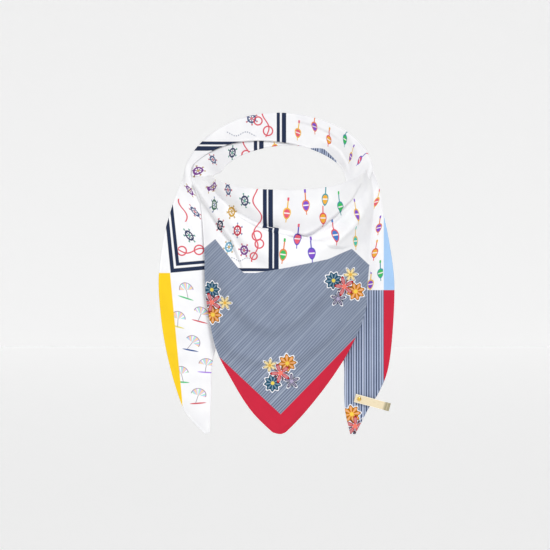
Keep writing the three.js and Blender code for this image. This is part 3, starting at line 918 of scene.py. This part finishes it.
def front_material(grid):
    """The front: a printed band above, a framed panel of pinstripes below, and a red border."""
    net = Net("printed_cloth_front")
    s, t = net.coords("Cloth")
    x, y = net.coords("Front")
    striped = y.over(net.curve(x, PANEL_TOP, (180, 400), (230, 300)), 0.5)
    print_x = x - y.over(RIDGE_ROW, 1.2) * RIDGE_JUMP
    left_panel = print_x.under(262.5, 0.4)
    right_panel = print_x.over(273.4, 0.4)
    colour = wheels(net, WHITE, s, t, left_panel * y.under(262.0, 0.4), placed(grid, FRONT_WHEELS))
    colour = floats(net, colour, s, t, right_panel, placed(grid, FRONT_FLOATS))
    colour = scroll(net, colour, x, y, left_panel, 256.5,
                    [(257, 236, 4.6), (259.5, 244, 4.2), (254, 256, 3.4)], (189, 262))
    dots = dotted_line(x, y, 259.5, 0.4, 1.6)
    colour = net.paint(colour, GREY, dots * x.between(228.0, 250.0, 0.5))
    bars = print_x.between(262.9, 266.9, 0.5).high(print_x.between(268.3, 273.0, 0.5))
    foot = y.between(268.2, 271.4, 0.5) * print_x.under(273.0, 0.4)
    colour = net.paint(colour, NAVY, bars * y.under(271.4, 0.4))
    colour = net.paint(colour, NAVY, foot)
    slant = math.radians(SLANT)
    across = x * math.sin(slant) + y * math.cos(slant)
    clear = (y + abs(x - 282.0) * 0.35).over(372.0, 70.0) * CLEARER + FAINT
    colour = pinstripes(net, colour, across, striped, BIB_PITCH, BIB_STRIPES, clear)
    # one cluster of sea stars and shells, in three places: on the right, on the left and low down
    low_one = y.over(330.0, 1.0)
    left_one = x.under(262.0, 1.0) * (1 - low_one)
    cx = 344.0 - left_one * 132.0 - low_one * 63.5
    cy = left_one * 16.0 + low_one * 86.5 + 286.5
    dx, dy = net.turned(x - cx, y - cy, low_one * 1.4 - left_one * 1.1 + 0.35)
    apart = abs(y - 330.0).over(2.0, 0.5) * abs(x - 262.0).over(2.0, 0.5).high(low_one)
    colour = sea_cluster(net, colour, dx, dy, striped * apart)
    # the red border below the panel
    left_side = y - x * LEFT_SLOPE - (CORNER_Y - LEFT_SLOPE * CORNER_X)
    right_side = y + x * RIGHT_SLOPE - (CORNER_Y + RIGHT_SLOPE * CORNER_X)
    colour = net.paint(colour, RED, left_side.high(right_side).over(0.0, 0.6) * y.over(330.0, 1.0))
    # painted shade: the upper lobe's white is painted a little grey, where it lies in shade
    painted_lobe_shade = x.over(274.0, 4.0) * y.under(232.0, 5.0) * (y + x).under(548.0, 16.0)
    colour = net.paint(colour, tint(238, 238, 238), painted_lobe_shade * colour_is_white(net, colour) * 0.55)
    return finish_cloth(net, colour, s, t)


def end_net(name):
    """The net of one end of the scarf, with its coordinates, and masks for its band and its tail."""
    net = Net(name)
    band = net.coords("Share")[0].under(TAIL_FROM, 0.01)
    return net, net.coords("Cloth"), net.coords("Front"), band, 1 - band


def right_material(grid):
    """The band from the right shoulder and the left tail in which it ends."""
    net, (s, t), (x, y), band, tail = end_net("printed_cloth_right")
    # the nape: two white panels with a navy frame between them
    colour = floats(net, WHITE, t * -1, s * -1, band * x.over(287.5, 0.4),
                    placed(grid, NAPE_FLOATS, True), 0.95)
    colour = wheels(net, colour, s, t, band * y.under(137.0, 0.5), placed(grid, NAPE_WHEELS))
    colour = scroll(net, colour, x, y, band, 267.0, [(268, 131, 4.6), (258, 121, 4.0)], (112, 137))
    dots = dotted_line(x, y, 134.0, 0.3, 2.0)
    colour = net.paint(colour, GREY, dots * band * x.between(226.0, 256.0, 0.5))
    bars = x.between(276.7, 279.9, 0.4).high(x.between(281.8, 286.2, 0.5))
    foot = y.between(141.7, 144.8, 0.4) * x.under(279.9, 0.4)
    foot = foot.high(y.between(146.4, 151.0, 0.4) * x.under(286.2, 0.4))
    # a sliver of the striped panel at the lower edge, on the right
    edge = net.curve(x, NAPE_FOOT, (300, 338), (140, 165))
    sliver = y.over(edge - 4.0 + abs(x - 324.0) * 0.3, 0.5) * x.between(311.0, 337.0, 0.5)
    colour = pinstripes(net, colour, x, sliver * band, 2.2, TAIL_STRIPES)
    front_face = s.under(33.0, 1.0)
    colour = net.paint(colour, NAVY, bars.high(foot * front_face) * band)
    # the tail: a framed panel above, a yellow border and parasols below
    out_x = x - y * OUTER_LEAN - (168.4 - OUTER_LEAN * 230)
    out_y = y + x * OUTER_FALL - (270.6 + OUTER_FALL * 174)
    in_x = x - y * INNER_LEAN - (172.4 - INNER_LEAN * 215)
    in_y = y + x * INNER_FALL - (264.3 + INNER_FALL * 178)
    panel = in_y.under(-1.0, 0.4) * in_x.over(1.0, 0.4) * tail
    colour = wheels(net, colour, s, t, panel, placed(grid, PANEL_WHEELS))
    colour = scroll(net, colour, y, x, tail, 252.0, [(251, 182, 4.4), (250, 199, 4.6)], (178, 206))
    colour = scroll(net, colour, x, y, tail, 182.0, [], (199, 222))
    colour = net.paint(colour, WHITE, tail * out_y.over(2.2, 0.4))
    below = out_y.over(2.4, 0.4) * tail
    colour = parasols(net, colour, s, t, below, placed(grid, LEFT_PARASOLS))
    outer = out_x.between(-1.9, 1.9, 0.4) * out_y.under(2.0, 0.4)
    outer = outer.high(out_y.between(-2.0, 2.0, 0.4) * out_x.over(-1.9, 0.4))
    inner = in_x.between(-1.7, 1.7, 0.4) * in_y.under(1.6, 0.4)
    inner = inner.high(in_y.between(-1.6, 1.6, 0.4) * in_x.over(-1.7, 0.4))
    colour = net.paint(colour, WHITE, out_x.under(1.9, 0.4) * out_y.under(2.2, 0.4) * tail)
    colour = net.paint(colour, NAVY, outer.high(inner) * tail)
    border = (x - y * BORDER_LEAN).under(170.2 - BORDER_LEAN * 273, 0.5) * y.over(273.0, 0.5) * tail
    colour = net.paint(colour, YELLOW, border)
    return finish_cloth(net, colour, s, t)


def left_material(grid):
    """The band from the left shoulder and the right tail in which it ends."""
    net, (s, t), (x, y), band, tail = end_net("printed_cloth_left")
    colour = wheels(net, WHITE, s, t, band, placed(grid, SIDE_WHEELS))
    colour = floats(net, colour, t * -1, s * -1, band * x.over(266.0, 0.5),
                    placed(grid, SIDE_FLOATS, True), 0.9)
    colour = scroll(net, colour, x, y, band, 245.0, [(246, 155, 4.4)], (140, 165))
    bars = x.between(253.7, 257.2, 0.4).high(x.between(259.0, 263.6, 0.4))
    colour = net.paint(colour, NAVY, bars * band)
    # the tail: floats and a blue border above, pinstripes and a red border below
    upper = tail * y.under(RED_FROM, 0.5)
    lower = tail * y.over(RED_FROM, 0.5)
    colour = floats(net, colour, s, t, upper * x.under(383.0, 0.5), placed(grid, EDGE_FLOATS), 0.95)
    colour = net.paint(colour, SKY, upper * x.over(EDGE_COLUMN, 0.5) * y.over(BLUE_FROM, 0.5))
    colour = pinstripes(net, colour, x, lower, 2.5, TAIL_STRIPES)
    dx, dy = net.turned(x - 355.0, y - 426.0, 2.6)
    colour = sea_cluster(net, colour, dx, dy, lower * y.over(404.0, 0.5))
    colour = net.paint(colour, RED, lower * x.over(EDGE_COLUMN, 0.5))
    return finish_cloth(net, colour, s, t)


# The ribbon in mm from its middle: where its painted dark reflection starts, the line in it, and the
# weave's pitch.
DARK_REFLECTION_FROM, LINE_AT, WEAVE_PITCH = 12.8, 16.0, 0.4
# the stud's radius in mm where its painted shade at the dome's foot starts
DOME_SHADE_FROM = 1.85


def ribbon_material():
    """Cream-gold satin with pale edges, and a painted dark reflection near the free end."""
    net = Net("label_ribbon_satin")
    s, t = net.coords("Cloth")
    streak = net.noise(s * 0.25, t * 2.6, 1.0, 3.0)
    colour = net.paint(tint(226, 206, 166), tint(244, 232, 202), streak)
    colour = net.paint(colour, tint(252, 242, 216), abs(t).over(3.4, 0.5))
    # painted reflection: the satin is painted darker from here to the free end
    painted_reflection_bar = s.over(DARK_REFLECTION_FROM, 2.6)
    colour = net.paint(colour, tint(140, 132, 100), painted_reflection_bar * (streak * 0.4 + 0.6))
    colour = net.paint(colour, tint(216, 200, 160), abs(s - LINE_AT).under(0.35, 0.4) * 0.7)
    thread = abs(s.fract() - 0.5).under(0.28, 0.2) * abs(abs(t) - 3.35).under(0.16, 0.14)
    colour = net.paint(colour, tint(206, 176, 116), thread * s.under(12.0, 0.5) * 0.8)
    net.put(net.shader.inputs["Base Color"], colour)
    net.bump((t * (math.tau / WEAVE_PITCH)).sin() * 0.5 + streak, 0.3, 0.00008)
    return net.finish(Roughness=0.36, Specular_IOR_Level=0.5)


def stud_material():
    """Polished gold-coloured metal, with painted shade towards the foot of the dome."""
    net = Net("stud_metal_polished")
    u, v = net.coords("Around")
    scratch = net.noise(u, v, 9.0, 3.0)
    # painted shade: the dome is painted darker towards its foot
    foot = net.length(u, v).over(DOME_SHADE_FROM, 0.3)
    colour = net.paint(tint(236, 196, 96), tint(150, 112, 50), foot * 0.7)
    colour = net.paint(colour, tint(255, 226, 140), scratch.over(0.6, 0.3) * 0.3)
    net.put(net.shader.inputs["Base Color"], colour)
    return net.finish(Metallic=1.0, Roughness=0.24)


front_grid = front_cloth()
front = cloth("front_cloth", *front_grid, front_material(front_grid))
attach(front, "root")
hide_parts("cowl", "bib")
right_grid = end_cloth(right_band_point, LEFT_TAIL, RIGHT_TUCK, NAPE_FOLDS)
right = cloth("right_cloth", *right_grid, right_material(right_grid))
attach(right, "root")
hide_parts("right_band", "left_tail")
left_grid = end_cloth(left_band_point, RIGHT_TAIL, LEFT_TUCK)
left = cloth("left_cloth", *left_grid, left_material(left_grid))
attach(left, "root")
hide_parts("left_band", "right_tail")
ribbon_piece = cloth("ribbon", *ribbon(), ribbon_material())
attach(ribbon_piece, "root")
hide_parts("label")
dome = stud(stud_material())
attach(dome, "root")
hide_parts("label_stud")

# The camera: its sensor's width in mm, and how far it sees in m.
SENSOR, SIGHT = 36, 60
# The stage: how much the floor's and the backdrop's paper are lifted, and the light from all round.
FLOOR_GLOW, BACK_GLOW, ROOM_LIGHT = 0.255, 0.225, 0.48
# What both lamps look at, in m, and their power in W.
LIT_POINT, KEY_WATTS, FILL_WATTS = (0, 0, -0.12), 40, 13

scene = bpy.context.scene
cam_data = bpy.data.cameras.new("camera")
cam_data.sensor_width = SENSOR
cam_data.lens = FOCAL_PX / PHOTO_PX * SENSOR
cam_data.clip_end = SIGHT
cam = bpy.data.objects.new("camera", cam_data)
cam.location = CAMERA_AT * MM
cam.rotation_euler = (math.radians(90 - CAMERA_TILT), 0, 0)
scene.collection.objects.link(cam)
scene.camera = cam


def stage_plane(name, at, size, turn, material):
    """A flat sheet of the stage, turned about X by so many degrees."""
    bpy.ops.object.select_all(action="DESELECT")
    bpy.ops.mesh.primitive_plane_add(size=1, location=at, rotation=(math.radians(turn), 0, 0))
    plane = bpy.context.object
    plane.name = plane.data.name = name
    plane.scale = (*size, 1)
    bpy.ops.object.transform_apply(location=True, rotation=True, scale=True)
    plane.data.materials.append(material)


def paper(name, glow):
    """Matt white paper, lifted a little so that it stays as pale as in the photograph."""
    material = bpy.data.materials.new(name)
    material.use_nodes = True
    shader = material.node_tree.nodes["Principled BSDF"]
    shader.inputs["Base Color"].default_value = (0.93, 0.93, 0.93, 1)
    shader.inputs["Roughness"].default_value = 1.0
    shader.inputs["Emission Color"].default_value = (1, 1, 1, 1)
    shader.inputs["Emission Strength"].default_value = glow
    return material


stage_plane("floor", (0, 1, -1.1), (18, 16), 0, paper("floor_paper", FLOOR_GLOW))
stage_plane("backdrop", (0, 7, 2.95), (18, 8.1), 90, paper("back_paper", BACK_GLOW))

world = bpy.data.worlds.new("studio")
world.use_nodes = True
background = world.node_tree.nodes["Background"]
background.inputs["Color"].default_value = (1, 1, 1, 1)
background.inputs["Strength"].default_value = ROOM_LIGHT
scene.world = world


def area_light(name, at, side, watts):
    """A square soft light that faces the scarf."""
    data = bpy.data.lights.new(name, "AREA")
    data.shape = "RECTANGLE"
    data.size = data.size_y = side
    data.energy = watts
    obj = bpy.data.objects.new(name, data)
    obj.location = at
    obj.rotation_euler = (Vector(LIT_POINT) - Vector(at)).to_track_quat("-Z", "Y").to_euler()
    scene.collection.objects.link(obj)


area_light("key", (0.8, -1.8, 1.9), 0.9, KEY_WATTS)
area_light("fill", (-1.9, -1.7, 0.35), 1.4, FILL_WATTS)
scene.view_settings.view_transform = "Standard"
